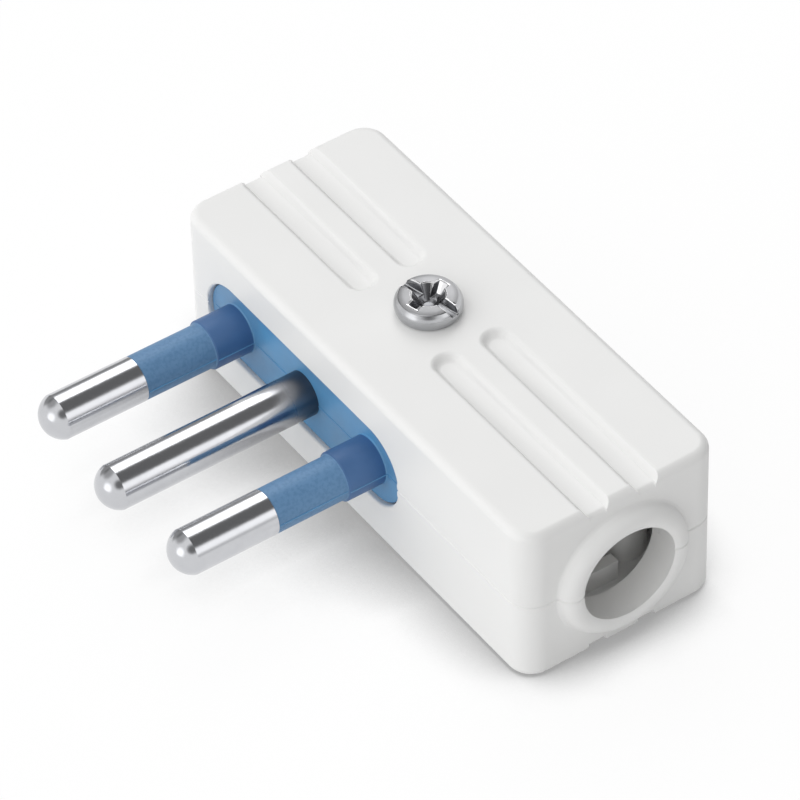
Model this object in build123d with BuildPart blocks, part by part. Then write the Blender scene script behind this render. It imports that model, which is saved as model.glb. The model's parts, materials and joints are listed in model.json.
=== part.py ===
# Flat mains plug with three round pins in line and a cord entry at one end.
# Two moulded shells part at half height and clamp a moulded carrier that holds the turned pins.
# Millimetres, +Z up. The origin is on the underside, below the middle of the housing.
# The pins point along -Y and the cord would leave along +X.
import os

from build123d import *

# Housing
body_length = 48.4
body_width = 19.1
body_height = 15.8
corner_radius = 2.2
edge_radius = 0.8
wall = 2.0
floor_thickness = 1.8
cavity_radius = 0.8
rib_thickness = 1.0
tongue_width = 0.8
tongue_height = 0.9
seam_bevel = 0.12
fit_clearance = 0.1

# Grip grooves in the broad faces
groove_width = 2.7
groove_depth = 0.6
groove_slope = 38.0
groove_spacing = 4.8
groove_to_screw = 4.9

# Cord entry
cord_bore_diameter = 8.9
bead_radius = 1.2
bead_inset = 0.6
bead_foot_radius = 0.35
bead_root = 0.42

# Pins
pin_pitch = 9.5
pin_diameter = 4.0
pin_length = 19.0
earth_pin_length = 19.7
pin_dome = 1.5
neck_diameter = 3.0
terminal_diameter = 4.6
terminal_length = 4.6
wire_hole_diameter = 2.6
wire_hole_depth = 3.8

# Pin carrier
carrier_length = 27.4
carrier_height = 7.6
carrier_recess = 0.4
carrier_end_gap = 0.2
flange_margin = 0.6
flange_thickness = 1.6
holder_thickness = 1.6
holder_inset = 1.6
sleeve_diameter = 3.95
sleeve_length = 9.9
sleeve_base_diameter = 4.4
sleeve_base_length = 3.2

# Terminal screws
terminal_screw_diameter = 2.2
terminal_screw_head_diameter = 3.8
terminal_screw_head_height = 1.5
terminal_screw_reach = 0.7
terminal_slot_turn = 30.0

# Closing screw and its square nut
screw_diameter = 3.0
screw_head_diameter = 5.7
screw_foot_diameter = 5.4
screw_rim_diameter = 5.1
screw_waist_low = 0.45
screw_waist_high = 0.85
screw_rim_height = 1.35
screw_head_height = 1.75
screw_tip_inset = 0.5
screw_turn = 17.0
slot_width = 0.85
slot_depth = 0.75
cross_arm_length = 3.9
cross_depth = 1.2
socket_diameter = 2.0
socket_tip_diameter = 1.0
nut_width = 5.5
nut_thickness = 1.8
nut_cover = 0.7
nut_bevel = 0.25
nut_pad_margin = 1.2
nut_pad_thickness = 1.6
screw_boss_gap = 0.15
screw_hole_diameter = 3.2

# Cord clamp
clamp_to_wall = 5.0
clamp_rise = 0.6
clamp_side_gap = 0.3
clamp_width = 4.6
clamp_thickness = 1.6
clamp_rib_width = 1.4
clamp_rib_height = 0.8
clamp_tooth = 0.8
clamp_tooth_spacing = 2.2
clamp_boss_diameter = 4.4
clamp_screw_diameter = 2.5
clamp_screw_head_diameter = 4.2
clamp_screw_head_height = 1.5
clamp_screw_depth = 5.0
clamp_slot_turn = 60.0
grip_ridge_height = 2.0
grip_ridge_length = 5.0
grip_ridge_offset = 2.6
driver_slot_width = 0.7
driver_slot_depth = 0.7

# Places that follow from the sizes above
parting_height = body_height / 2
front_y = -body_width / 2
end_x = body_length / 2
cavity_length = body_length - 2 * wall
cavity_width = body_width - 2 * wall
cavity_height = body_height - 2 * floor_thickness
flange_half = carrier_length / 2 + flange_margin
pin_middle_x = -cavity_length / 2 + cavity_radius + carrier_end_gap + flange_half
pin_places = [pin_middle_x + step * pin_pitch for step in (-1, 0, 1)]
screw_x = pin_middle_x + pin_pitch / 2
screw_boss_diameter = pin_pitch - terminal_diameter - 2 * screw_boss_gap
bead_circle_radius = cord_bore_diameter / 2 + bead_inset
flange_depth = wall + fit_clearance / 2
holder_depth = flange_depth + flange_thickness
carrier_depth = holder_depth + holder_thickness
terminal_depth = carrier_depth + terminal_length
terminal_screw_y = front_y + carrier_depth + terminal_length / 2
clamp_x = end_x - wall - clamp_to_wall
clamp_seat_height = parting_height + clamp_rise
clamp_length = cavity_width - 2 * clamp_side_gap
clamp_screw_spacing = clamp_length - clamp_width
clamp_tooth_length = clamp_screw_spacing - clamp_boss_diameter - 2 * fit_clearance
parting = Plane.XY.offset(parting_height)
cord_axis = Axis((0, 0, parting_height), (1, 0, 0))
pin_tip_radius = ((pin_diameter / 2) ** 2 + pin_dome**2) / (2 * pin_dome)
corner_up = (Align.MIN, Align.MIN)
standing = (Align.CENTER, Align.CENTER, Align.MIN)
hanging = (Align.CENTER, Align.CENTER, Align.MAX)


def behind_front(depth, x=pin_middle_x):
    """Plane parallel to the pin side of the housing, depth behind it, on the pins' level."""
    return Plane(origin=(x, front_y + depth, parting_height), x_dir=(1, 0, 0), z_dir=(0, 1, 0))


def seam_edges(shell):
    """Long straight edges of a shell at the parting plane; a bevel on them follows the whole outline."""
    return shell.edges().filter_by_position(Axis.Z, parting_height, parting_height).filter_by(Axis.X)


os.makedirs("parts", exist_ok=True)

# Outside of the closed housing, to be split at the parting plane
with BuildPart() as outside:
    with BuildSketch():
        RectangleRounded(body_length, body_width, corner_radius)
    extrude(amount=body_height)
    fillet(outside.faces().filter_by(Axis.Z).edges(), edge_radius)
    # Raised bead round the cord entry, blended into the end face
    with BuildSketch(Plane.XZ) as bead:
        with Locations((end_x, parting_height + bead_circle_radius)):
            Circle(bead_radius)
            Rectangle(bead_radius, 2 * (bead_radius + bead_root), align=(Align.MAX, Align.CENTER))
        on_end_face = bead.vertices().filter_by_position(Axis.X, end_x - fit_clearance, end_x + fit_clearance)
        fillet(on_end_face.sort_by(Axis.Y)[1:-1], bead_foot_radius)
    revolve(axis=cord_axis)
    # Grooves in line along both broad faces, open at the ends and broken off round the screw
    for broad_face, inward in ((Plane.XY.offset(body_height), -1), (Plane.XY, 1)):
        with BuildSketch(broad_face):
            for end, toward in ((-end_x, -1), (end_x, 1)):
                groove_start = screw_x + toward * groove_to_screw
                groove_end = end + toward * groove_width
                with Locations(((groove_start + groove_end) / 2, 0)):
                    with GridLocations(0, groove_spacing, 1, 2):
                        SlotOverall(abs(groove_end - groove_start), groove_width)
        extrude(amount=inward * groove_depth, taper=groove_slope, mode=Mode.SUBTRACT)

# Hollow inside, with its ways out for the pin carrier and the cord
with BuildPart() as hollow:
    with BuildSketch(Plane.XY.offset(floor_thickness)):
        RectangleRounded(cavity_length, cavity_width, cavity_radius)
    extrude(amount=cavity_height)
    # Screw boss, the stops behind the carrier's flange and the wall between two terminals stay solid
    stop_y = front_y + holder_depth + fit_clearance / 2
    stop_reach = holder_inset + flange_margin - fit_clearance
    with BuildSketch(Plane.XY.offset(floor_thickness)):
        with Locations((screw_x, 0)):
            Circle(screw_boss_diameter / 2)
        with Locations((-cavity_length / 2, stop_y)):
            Rectangle(pin_middle_x - flange_half + stop_reach + cavity_length / 2, rib_thickness, align=corner_up)
        with Locations((pin_middle_x + flange_half - stop_reach, stop_y)):
            Rectangle(stop_reach + rib_thickness, rib_thickness, align=corner_up)
        with Locations((pin_middle_x - pin_pitch / 2, terminal_screw_y)):
            Rectangle(rib_thickness, terminal_length - 2 * fit_clearance)
    extrude(amount=cavity_height, mode=Mode.SUBTRACT)
    with BuildSketch(behind_front(0)):
        SlotOverall(carrier_length, carrier_height)
    extrude(amount=wall)
    with BuildSketch(Plane.YZ.offset(end_x - wall)):
        with Locations((0, parting_height)):
            Circle(cord_bore_diameter / 2)
    extrude(amount=wall + bead_radius)

# Upper shell, with the recess that takes the lower shell's tongue
with BuildPart() as upper_shell:
    add(outside.part)
    split(bisect_by=parting, keep=Keep.TOP)
    chamfer(seam_edges(upper_shell), seam_bevel)
    add(hollow.part, mode=Mode.SUBTRACT)
    with BuildSketch(parting):
        recess = tongue_width + fit_clearance
        RectangleRounded(cavity_length + 2 * recess, cavity_width + 2 * recess, cavity_radius + recess)
        RectangleRounded(cavity_length, cavity_width, cavity_radius, mode=Mode.SUBTRACT)
    extrude(amount=tongue_height + fit_clearance, mode=Mode.SUBTRACT)
    with Locations((screw_x, 0, body_height)):
        Hole(screw_hole_diameter / 2, depth=parting_height)
upper_shell.part.label = "upper_shell"
export_step(upper_shell.part, "parts/upper_shell.step")

# Lower shell, with the tongue, the nut pocket and the seats of the cord clamp
with BuildPart() as lower_shell:
    add(outside.part)
    split(bisect_by=parting, keep=Keep.BOTTOM)
    chamfer(seam_edges(lower_shell), seam_bevel)
    with BuildSketch(parting):
        RectangleRounded(
            cavity_length + 2 * tongue_width, cavity_width + 2 * tongue_width, cavity_radius + tongue_width
        )
        RectangleRounded(cavity_length, cavity_width, cavity_radius, mode=Mode.SUBTRACT)
    extrude(amount=tongue_height)
    add(hollow.part, mode=Mode.SUBTRACT)
    # Pad round the nut pocket, and the bosses and grip ridge of the cord clamp
    nut_pocket = nut_width + 2 * fit_clearance
    nut_seat_height = nut_cover + nut_thickness
    with BuildSketch(Plane.XY.offset(floor_thickness)):
        with Locations((screw_x, 0)):
            Rectangle(nut_pocket + 2 * nut_pad_margin, nut_pocket + 2 * nut_pad_margin)
    extrude(amount=nut_seat_height + nut_pad_thickness - floor_thickness)
    with BuildSketch(Plane.XY.offset(floor_thickness)):
        with Locations((clamp_x, 0)):
            with GridLocations(0, clamp_screw_spacing, 1, 2):
                Circle(clamp_boss_diameter / 2)
    extrude(amount=clamp_seat_height - floor_thickness)
    with BuildSketch(Plane.XY.offset(floor_thickness)):
        with Locations((clamp_x + grip_ridge_offset, 0)):
            Rectangle(rib_thickness, grip_ridge_length)
    extrude(amount=grip_ridge_height)
    with Locations((clamp_x, 0, clamp_seat_height)):
        with GridLocations(0, clamp_screw_spacing, 1, 2):
            Hole(clamp_screw_diameter / 2, depth=clamp_screw_depth)
    # Nut pocket in the underside and the screw's way through
    with BuildSketch():
        with Locations((screw_x, 0)):
            Rectangle(nut_pocket, nut_pocket)
    extrude(amount=nut_seat_height, mode=Mode.SUBTRACT)
    with Locations((screw_x, 0, parting_height)):
        Hole(screw_hole_diameter / 2, depth=parting_height)
lower_shell.part.label = "lower_shell"
export_step(lower_shell.part, "parts/lower_shell.step")


def turned_pin(name, x, length, shoulder):
    """Round pin with a domed tip, a neck up to its shoulder and a drilled terminal behind it."""
    with BuildPart() as pin:
        with BuildSketch(Plane(origin=(x, front_y, parting_height), x_dir=(0, -1, 0), z_dir=(1, 0, 0))):
            with BuildLine():
                dome_start = (length - pin_dome, pin_diameter / 2)
                tip = (length, 0)
                end_of_terminal = (-terminal_depth, 0)
                Polyline(
                    end_of_terminal,
                    (-terminal_depth, terminal_diameter / 2),
                    (-carrier_depth, terminal_diameter / 2),
                    (-carrier_depth, neck_diameter / 2),
                    (shoulder, neck_diameter / 2),
                    (shoulder, pin_diameter / 2),
                    dome_start,
                )
                RadiusArc(dome_start, tip, pin_tip_radius)
                Line(tip, end_of_terminal)
            make_face()
        revolve(axis=Axis((x, front_y, parting_height), (0, -1, 0)))
        # Wire hole along the pin, crossed by the hole for the terminal screw
        with BuildSketch(behind_front(terminal_depth, x)):
            Circle(wire_hole_diameter / 2)
        extrude(amount=-wire_hole_depth, mode=Mode.SUBTRACT)
        with Locations((x, terminal_screw_y, parting_height + terminal_diameter / 2)):
            Hole(terminal_screw_diameter / 2, depth=terminal_diameter / 2)
    pin.part.label = name
    export_step(pin.part, f"parts/{name}.step")
    return pin.part


line_pin = turned_pin("line_pin", pin_places[0], pin_length, sleeve_length)
earth_pin = turned_pin("earth_pin", pin_places[1], earth_pin_length, -carrier_recess)
neutral_pin = turned_pin("neutral_pin", pin_places[2], pin_length, sleeve_length)

# Pin carrier: face, flange behind the housing wall, holder, and the sleeves of the two live pins
with BuildPart() as pin_carrier:
    face_length = carrier_length - 2 * fit_clearance
    face_height = carrier_height - 2 * fit_clearance
    with BuildSketch(behind_front(carrier_recess)):
        SlotOverall(face_length, face_height)
    extrude(amount=flange_depth - carrier_recess)
    with BuildSketch(behind_front(flange_depth)):
        SlotOverall(face_length + 2 * flange_margin, face_height + 2 * flange_margin)
    extrude(amount=flange_thickness)
    with BuildSketch(behind_front(holder_depth)):
        SlotOverall(face_length - 2 * holder_inset, face_height)
    extrude(amount=holder_thickness)
    for reach, diameter in ((sleeve_base_length, sleeve_base_diameter), (sleeve_length, sleeve_diameter)):
        with BuildSketch(behind_front(carrier_recess)):
            with GridLocations(2 * pin_pitch, 0, 2, 1):
                Circle(diameter / 2)
        extrude(amount=-reach - carrier_recess)
    for pin in (line_pin, earth_pin, neutral_pin):
        add(pin, mode=Mode.SUBTRACT)
pin_carrier.part.label = "pin_carrier"
export_step(pin_carrier.part, "parts/pin_carrier.step")

# Three slotted screws that hold the wires in the pins' terminals
with BuildPart() as terminal_screws:
    terminal_top = parting_height + terminal_diameter / 2
    with Locations(*[(x, terminal_screw_y, terminal_top) for x in pin_places]):
        shank_radius = (terminal_screw_diameter - fit_clearance) / 2
        Cylinder(shank_radius, terminal_diameter / 2 - terminal_screw_reach, align=hanging)
        Cylinder(terminal_screw_head_diameter / 2, terminal_screw_head_height, align=standing)
    slot_floor = terminal_top + terminal_screw_head_height - driver_slot_depth
    with Locations(*[(x, terminal_screw_y, slot_floor) for x in pin_places]):
        Box(
            terminal_screw_head_diameter, driver_slot_width, driver_slot_depth,
            rotation=(0, 0, terminal_slot_turn), align=standing, mode=Mode.SUBTRACT,
        )
terminal_screws.part.label = "terminal_screws"
export_step(terminal_screws.part, "parts/terminal_screws.step")

# Cord clamp: a bar with a stiffening rib above and two rows of teeth below
with BuildPart() as cord_clamp:
    with BuildSketch(Plane.XY.offset(clamp_seat_height)):
        with Locations((clamp_x, 0)):
            SlotOverall(clamp_length, clamp_width, rotation=90)
            with GridLocations(0, clamp_screw_spacing, 1, 2):
                Circle((clamp_screw_diameter + 2 * fit_clearance) / 2, mode=Mode.SUBTRACT)
    extrude(amount=clamp_thickness)
    clamp_top = clamp_seat_height + clamp_thickness
    with BuildSketch(Plane.XY.offset(clamp_top)):
        with Locations((clamp_x, 0)):
            Rectangle(clamp_rib_width, clamp_tooth_length)
    extrude(amount=clamp_rib_height)
    with BuildSketch(Plane.XZ):
        with Locations((clamp_x, clamp_seat_height)):
            with GridLocations(clamp_tooth_spacing, 0, 2, 1):
                Polygon((-clamp_tooth, 0), (clamp_tooth, 0), (0, -clamp_tooth), align=None)
    extrude(amount=clamp_tooth_length / 2, both=True)
cord_clamp.part.label = "cord_clamp"
export_step(cord_clamp.part, "parts/cord_clamp.step")

# Two slotted screws that hold the cord clamp down on its bosses
with BuildPart() as clamp_screws:
    with Locations((clamp_x, 0, clamp_top)):
        with GridLocations(0, clamp_screw_spacing, 1, 2):
            Cylinder(
                (clamp_screw_diameter - fit_clearance) / 2, clamp_thickness + clamp_screw_depth - fit_clearance,
                align=hanging,
            )
            Cylinder(clamp_screw_head_diameter / 2, clamp_screw_head_height, align=standing)
    with Locations((clamp_x, 0, clamp_top + clamp_screw_head_height - driver_slot_depth)):
        with GridLocations(0, clamp_screw_spacing, 1, 2):
            Box(
                clamp_screw_head_diameter, driver_slot_width, driver_slot_depth,
                rotation=(0, 0, clamp_slot_turn), align=standing, mode=Mode.SUBTRACT,
            )
clamp_screws.part.label = "clamp_screws"
export_step(clamp_screws.part, "parts/clamp_screws.step")

# Closing screw: pan head with a full slot crossed by a shorter arm, through both shells to the nut
with BuildPart() as closing_screw:
    with BuildSketch(Plane(origin=(screw_x, 0, body_height), x_dir=(1, 0, 0), z_dir=(0, -1, 0))):
        with BuildLine():
            waist_radius = screw_head_diameter / 2
            rim = (screw_rim_diameter / 2, screw_rim_height)
            crown = (0, screw_head_height)
            crown_rise = screw_head_height - screw_rim_height
            crown_radius = ((screw_rim_diameter / 2) ** 2 + crown_rise**2) / (2 * crown_rise)
            Polyline(
                (0, 0),
                (screw_foot_diameter / 2, 0),
                (waist_radius, screw_waist_low),
                (waist_radius, screw_waist_high),
                rim,
            )
            RadiusArc(rim, crown, crown_radius)
            Line(crown, (0, 0))
        make_face()
    revolve(axis=Axis((screw_x, 0, 0), (0, 0, 1)))
    with Locations((screw_x, 0, body_height)):
        Cylinder(screw_diameter / 2, body_height - nut_cover - screw_tip_inset, align=hanging)
    head_top = body_height + screw_head_height
    with Locations((screw_x, 0, head_top)):
        Box(
            screw_head_diameter, slot_width, slot_depth,
            rotation=(0, 0, screw_turn), align=hanging, mode=Mode.SUBTRACT,
        )
        Box(
            slot_width, cross_arm_length, cross_depth,
            rotation=(0, 0, screw_turn), align=hanging, mode=Mode.SUBTRACT,
        )
        Cone(
            socket_tip_diameter / 2, socket_diameter / 2, cross_depth,
            align=hanging, mode=Mode.SUBTRACT,
        )
closing_screw.part.label = "closing_screw"
export_step(closing_screw.part, "parts/closing_screw.step")

# Square nut for the closing screw, up against the top of its pocket
with BuildPart() as closing_nut:
    with BuildSketch(Plane.XY.offset(nut_cover)):
        with Locations((screw_x, 0)):
            Rectangle(nut_width, nut_width)
            Circle((screw_diameter + fit_clearance) / 2, mode=Mode.SUBTRACT)
    extrude(amount=nut_thickness)
    chamfer(closing_nut.faces().sort_by(Axis.Z)[0].outer_wire().edges(), nut_bevel)
closing_nut.part.label = "closing_nut"
export_step(closing_nut.part, "parts/closing_nut.step")
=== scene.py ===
# %% [markdown]
# # A flat plug with three round pins
#
# The plug is a white moulded housing in two halves, closed by one screw. A blue moulding
# in its long side carries three turned pins, and a beaded hole in one end lets a cord in.
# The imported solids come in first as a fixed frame. They give every place and size, and
# each finished piece is made around them, in metres, where its solid already is.

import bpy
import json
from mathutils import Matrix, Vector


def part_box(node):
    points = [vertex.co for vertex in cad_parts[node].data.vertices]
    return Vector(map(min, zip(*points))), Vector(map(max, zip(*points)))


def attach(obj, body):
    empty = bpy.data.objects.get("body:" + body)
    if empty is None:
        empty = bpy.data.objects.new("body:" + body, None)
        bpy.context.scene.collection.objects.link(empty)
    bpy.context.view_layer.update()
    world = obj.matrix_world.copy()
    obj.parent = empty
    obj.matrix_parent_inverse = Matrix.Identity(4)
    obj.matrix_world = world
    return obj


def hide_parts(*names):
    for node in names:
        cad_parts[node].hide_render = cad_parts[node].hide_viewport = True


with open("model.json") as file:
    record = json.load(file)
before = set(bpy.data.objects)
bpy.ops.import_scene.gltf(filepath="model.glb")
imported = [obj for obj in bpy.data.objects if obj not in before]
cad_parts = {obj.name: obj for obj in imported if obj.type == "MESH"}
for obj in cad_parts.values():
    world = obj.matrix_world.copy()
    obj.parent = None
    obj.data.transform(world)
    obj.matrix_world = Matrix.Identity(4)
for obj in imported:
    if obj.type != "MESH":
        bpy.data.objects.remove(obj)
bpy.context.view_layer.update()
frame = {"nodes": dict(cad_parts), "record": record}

import json
import math

import bmesh
import bpy
from mathutils import Quaternion, Vector

MM = 0.001
nodes = frame["nodes"]
mounts = {mount["name"]: mount for mount in frame["record"]["mounts"]}
print("solids:", ", ".join(sorted(nodes)))

# %% [markdown]
# ## Colours and nodes
#
# Colours are noted as sRGB hex values, as a paint card gives them. Shaders count in
# linear light, so one function turns the one into the other. A second small function
# adds any node, for shaders and for shapes alike, with its settings and its inputs. An
# input is named by its label or its number, and takes a value or another node's socket.

# %% Colour and node helpers
def linear(hex_colour):
    channels = [int(hex_colour[i:i + 2], 16) / 255 for i in (1, 3, 5)]
    curve = [c / 12.92 if c <= 0.04045 else ((c + 0.055) / 1.055) ** 2.4 for c in channels]
    return (*curve, 1.0)


def add_node(tree, kind, settings=None, inputs=None):
    node = tree.nodes.new(kind)
    for name, value in (settings or {}).items():
        setattr(node, name, value)
    for key, value in (inputs or {}).items():
        if isinstance(value, bpy.types.NodeSocket):
            tree.links.new(value, node.inputs[key])
        else:
            node.inputs[key].default_value = value
    return node


def new_material(name):
    material = bpy.data.materials.new(name)
    material.use_nodes = True
    material.node_tree.nodes.clear()
    return material, material.node_tree


def per_mm(size):
    """Texture scale at which a pattern's features are about this many millimetres wide."""
    return 1 / (size * MM)


print("mid grey in linear light:", round(linear("#808080")[0], 3))

# %% [markdown]
# ## White ABS for the housing
#
# The halves are injection moulded ABS. The tool is spark eroded, which leaves a satin
# skin of fine pits about a quarter of a millimetre wide. The pigment drifts by a shade
# over a centimetre or so. Noise on the piece's own coordinates gives both, and a third,
# slower noise lets the gloss vary as it does where the melt cooled at different speeds.

# %% White moulded ABS
PLASTIC_IOR = 1.53
PIGMENT_DRIFT_MM = 11
MELT_FLOW_MM = 5
PIT_WIDTH_MM = 0.25
PIT_DEPTH = 0.03 * MM
PIT_STRENGTH = 0.1


def moulded_abs(name, pale, deep, smooth, dull):
    material, tree = new_material(name)
    place = add_node(tree, "ShaderNodeTexCoord").outputs["Object"]
    drift = add_node(tree, "ShaderNodeTexNoise", None,
                     {"Vector": place, "Scale": per_mm(PIGMENT_DRIFT_MM), "Detail": 2.0})
    tint = add_node(tree, "ShaderNodeMix", {"data_type": "RGBA"},
                    {0: drift.outputs["Fac"], 6: linear(pale), 7: linear(deep)})
    flow = add_node(tree, "ShaderNodeTexNoise", None,
                    {"Vector": place, "Scale": per_mm(MELT_FLOW_MM), "Detail": 3.0})
    gloss = add_node(tree, "ShaderNodeMapRange", None,
                     {"Value": flow.outputs["Fac"], "To Min": smooth, "To Max": dull})
    pits = add_node(tree, "ShaderNodeTexNoise", None,
                    {"Vector": place, "Scale": per_mm(PIT_WIDTH_MM), "Detail": 2.0})
    bump = add_node(tree, "ShaderNodeBump", None,
                    {"Height": pits.outputs["Fac"], "Strength": PIT_STRENGTH, "Distance": PIT_DEPTH})
    skin = add_node(tree, "ShaderNodeBsdfPrincipled", None,
                    {"Base Color": tint.outputs[2], "Roughness": gloss.outputs[0], "IOR": PLASTIC_IOR,
                     "Normal": bump.outputs[0]})
    add_node(tree, "ShaderNodeOutputMaterial", None, {"Surface": skin.outputs[0]})
    return material


# Satin and almost even: light wraps over the rounded edges without a hard glint
white_abs = moulded_abs("abs_white_moulded", "#EEEEED", "#EAEAE9", 0.36, 0.48)
# The clamp bar is the same resin without white pigment, which looks ivory
natural_abs = moulded_abs("abs_natural_moulded", "#DAD5C8", "#CFC9BB", 0.4, 0.5)
print("ABS finishes:", white_abs.name, natural_abs.name)

# %% [markdown]
# ## Blue polyamide for the pin carrier
#
# The carrier is moulded polyamide, a little duller than ABS. Its face looks cloudy: the
# colour is paler where the resin ran last and deeper in patches a few millimetres wide.
# The sleeves on the outer pins are the same resin with a rougher skin, finely speckled,
# and their thick roots are painted darkest, as painted shade next to the housing. One
# function makes all three finishes, and the colours and sizes tell them apart.

# %% Blue moulded polyamide
# Levels of the noise between which a pale patch turns into a deep one
PATCH_START = 0.4
PATCH_FULL = 0.68
SPECK_STRENGTH = 0.2


def moulded_polyamide(name, pale, deep, cloud_mm, speck_mm, speck_depth_mm, smooth, dull):
    material, tree = new_material(name)
    place = add_node(tree, "ShaderNodeTexCoord").outputs["Object"]
    cloud = add_node(tree, "ShaderNodeTexNoise", None,
                     {"Vector": place, "Scale": per_mm(cloud_mm), "Detail": 3.0})
    patch = add_node(tree, "ShaderNodeMapRange", {"interpolation_type": "SMOOTHSTEP"},
                     {"Value": cloud.outputs["Fac"], "From Min": PATCH_START, "From Max": PATCH_FULL})
    tint = add_node(tree, "ShaderNodeMix", {"data_type": "RGBA"},
                    {0: patch.outputs[0], 6: linear(pale), 7: linear(deep)})
    specks = add_node(tree, "ShaderNodeTexNoise", None,
                      {"Vector": place, "Scale": per_mm(speck_mm), "Detail": 2.0})
    gloss = add_node(tree, "ShaderNodeMapRange", None,
                     {"Value": specks.outputs["Fac"], "To Min": smooth, "To Max": dull})
    bump = add_node(tree, "ShaderNodeBump", None,
                    {"Height": specks.outputs["Fac"], "Strength": SPECK_STRENGTH,
                     "Distance": speck_depth_mm * MM})
    skin = add_node(tree, "ShaderNodeBsdfPrincipled", None,
                    {"Base Color": tint.outputs[2], "Roughness": gloss.outputs[0], "IOR": PLASTIC_IOR,
                     "Normal": bump.outputs[0]})
    add_node(tree, "ShaderNodeOutputMaterial", None, {"Surface": skin.outputs[0]})
    return material


# The face keeps a soft sheen, the sleeves scatter light and look drier and greyer
face_blue = moulded_polyamide("polyamide_blue_moulded", "#5B8EB8", "#5596C6", cloud_mm=6, speck_mm=0.3,
                              speck_depth_mm=0.03, smooth=0.34, dull=0.46)
# The thick roots of the sleeves are painted darker: painted shade next to the housing
sleeve_root_painted_shade_blue = moulded_polyamide("polyamide_blue_painted_shade_root", "#41699A", "#3A6292", cloud_mm=4, speck_mm=0.3,
                              speck_depth_mm=0.04, smooth=0.4, dull=0.5)
sleeve_blue = moulded_polyamide("polyamide_blue_eroded", "#5E88B0", "#557FA7", cloud_mm=0.3, speck_mm=0.18,
                                speck_depth_mm=0.05, smooth=0.42, dull=0.54)
print("carrier finishes:", face_blue.name, sleeve_root_painted_shade_blue.name, sleeve_blue.name)

# %% [markdown]
# ## Plated metal
#
# The pins are turned brass, nickel plated: bright, slightly cool, with the lathe's fine
# rings still under the plate. Real rings are a few hundredths of a millimetre apart, too
# fine to show, so they are drawn at a quarter of a millimetre. A socket's contacts polish
# the outer length of a pin and leave its root duller, and the root is painted dark as
# painted shade next to the housing, so the colour and the gloss change along it. The
# screws and the nut are headed steel. They have no rings, and their plate is clouded
# instead.

# %% Plated brass and steel
PLATE_CLOUD_MM = 1.6
PLATE_RELIEF = 0.04 * MM
PLATE_STRENGTH = 0.12
TURNING_RING_MM = 0.25
RING_WANDER = 0.4
# Height of the rings against the grain: felt in the sheen, never seen as a thread
RING_SHARE = 0.03
# A band texture repeats every pi / 10 at a scale of one
BAND_REPEAT = math.pi / 10


def plated_metal(name, bright, dull_colour, smooth, dull, ring_mm=None, root=None):
    material, tree = new_material(name)
    place = add_node(tree, "ShaderNodeTexCoord").outputs["Object"]
    cloud = add_node(tree, "ShaderNodeTexNoise", None,
                     {"Vector": place, "Scale": per_mm(PLATE_CLOUD_MM), "Detail": 4.0})
    tint = add_node(tree, "ShaderNodeMix", {"data_type": "RGBA"},
                    {0: cloud.outputs["Fac"], 6: linear(bright), 7: linear(dull_colour)})
    gloss = add_node(tree, "ShaderNodeMapRange", None,
                     {"Value": cloud.outputs["Fac"], "To Min": smooth, "To Max": dull})
    colour, shine, relief = tint.outputs[2], gloss.outputs[0], cloud.outputs["Fac"]
    if root:
        # The root's painted shade and its duller gloss fade out along the pin, between two places on its
        # axis
        pin_root_shade_colour, root_dull, root_end, root_start = root
        along = add_node(tree, "ShaderNodeSeparateXYZ", None, {0: place}).outputs["Y"]
        fade = add_node(tree, "ShaderNodeMapRange", {"interpolation_type": "SMOOTHSTEP"},
                        {"Value": along, "From Min": root_end, "From Max": root_start}).outputs[0]
        colour = add_node(tree, "ShaderNodeMix", {"data_type": "RGBA"},
                          {0: fade, 6: colour, 7: linear(pin_root_shade_colour)}).outputs[2]
        shine = add_node(tree, "ShaderNodeMix", None, {0: fade, 2: shine, 3: root_dull}).outputs[0]
    if ring_mm:
        rings = add_node(tree, "ShaderNodeTexWave", {"bands_direction": "Y"},
                         {"Vector": place, "Scale": per_mm(ring_mm) * BAND_REPEAT,
                          "Distortion": RING_WANDER})
        # The bar's own grain is about as wide as two rings and breaks their evenness
        grain = add_node(tree, "ShaderNodeTexNoise", None,
                         {"Vector": place, "Scale": per_mm(2 * ring_mm), "Detail": 4.0})
        relief = add_node(tree, "ShaderNodeMath", {"operation": "MULTIPLY_ADD"},
                          {0: rings.outputs["Fac"], 1: RING_SHARE, 2: grain.outputs["Fac"]}).outputs[0]
    bump = add_node(tree, "ShaderNodeBump", None,
                    {"Height": relief, "Strength": PLATE_STRENGTH, "Distance": PLATE_RELIEF})
    skin = add_node(tree, "ShaderNodeBsdfPrincipled", None,
                    {"Base Color": colour, "Roughness": shine, "Metallic": 1.0, "Normal": bump.outputs[0]})
    add_node(tree, "ShaderNodeOutputMaterial", None, {"Surface": skin.outputs[0]})
    return material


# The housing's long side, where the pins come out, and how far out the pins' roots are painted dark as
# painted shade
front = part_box("upper_shell")[0].y
ROOT_SHADE_REACH = 4.4 * MM
ROOT_START = 0.2 * MM
# Mirror-like along the pin and softened across it, so the studio shows as long streaks
pin_nickel = plated_metal("brass_turned_nickel_painted_root_shade", "#D0D1D4", "#C2C3C7", 0.1, 0.22, TURNING_RING_MM,
                          root=("#62656C", 0.34, front - ROOT_SHADE_REACH, front + ROOT_START))
# The head's side is smooth and bright, and shows the room in soft bands
screw_nickel = plated_metal("steel_headed_nickel_plated", "#C9CACC", "#AAABAE", 0.14, 0.26)
# The flat top of the screw is duller than its side, and painted greyer as painted shade on the pads
screw_pads_painted_shade = plated_metal("steel_nickel_pads_with_painted_shade", "#A8A8AA", "#98999B", 0.36, 0.5)
# The recess is painted darker than the side: painted shade in the punched hollows
screw_recess_painted_shade = plated_metal("steel_nickel_recess_with_painted_shade", "#97989B", "#66676A", 0.16, 0.32)
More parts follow.
